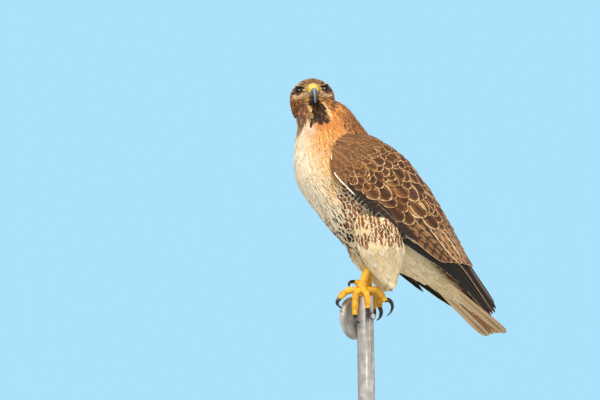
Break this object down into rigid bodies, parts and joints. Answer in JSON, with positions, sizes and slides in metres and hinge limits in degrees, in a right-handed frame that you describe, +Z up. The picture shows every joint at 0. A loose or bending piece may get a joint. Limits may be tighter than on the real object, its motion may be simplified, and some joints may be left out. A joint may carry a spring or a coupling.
{
  "type": "perched hawk model",
  "caption": "Life-size red-tailed hawk with folded wings, gripping the cut end of a thin pole on a plain round display stand, its head turned over its left shoulder side.",
  "frame": {"origin": "centre of the stand base's underside, on the pole's axis", "axes": "+Z up along the pole, -X the way the breast faces, -Y the bird's left side, which its face is turned to"},
  "size_m": [0.3612, 0.2396, 0.5842],
  "materials": {
    "breast_feathers": "cream breast feathers with dark streaks",
    "rufous_feathers": "rufous head and neck feathers",
    "brown_feathers": "dark brown wing feathers with buff edges",
    "tail_feathers": "brick red tail feathers, pale buff below",
    "thigh_feathers": "plain cream thigh feathers",
    "cere_skin": "waxy yellow skin",
    "bill_horn": "glossy slate horn",
    "eye": "wet dark brown eye",
    "leg_scales": "yellow leg scales",
    "claw_horn": "glossy black horn",
    "galvanised_steel": "dull pale metal",
    "stand_paint": "matt dark paint"
  },
  "bodies": {
    "root": {"torso": "breast_feathers", "neck": "rufous_feathers", "head": "rufous_feathers", "eye_right": "eye", "eye_left": "eye", "cere": "cere_skin", "bill_upper": "bill_horn", "bill_lower": "bill_horn", "wing_left": "brown_feathers", "wing_right": "brown_feathers", "tail": "tail_feathers", "thigh_left": "thigh_feathers", "thigh_right": "thigh_feathers", "perch_pole": "galvanised_steel", "perch_pulley": "galvanised_steel", "perch_bolt": "galvanised_steel", "stand_rod": "stand_paint", "stand_base": "stand_paint", "shank_left": "leg_scales", "toe_left_1": "leg_scales", "claw_left_1": "claw_horn", "toe_left_2": "leg_scales", "claw_left_2": "claw_horn", "toe_left_3": "leg_scales", "claw_left_3": "claw_horn", "toe_left_4": "leg_scales", "claw_left_4": "claw_horn", "shank_right": "leg_scales", "toe_right_1": "leg_scales", "claw_right_1": "claw_horn", "toe_right_2": "leg_scales", "claw_right_2": "claw_horn", "toe_right_3": "leg_scales", "claw_right_3": "claw_horn", "toe_right_4": "leg_scales", "claw_right_4": "claw_horn"}
  },
  "joints": []
}
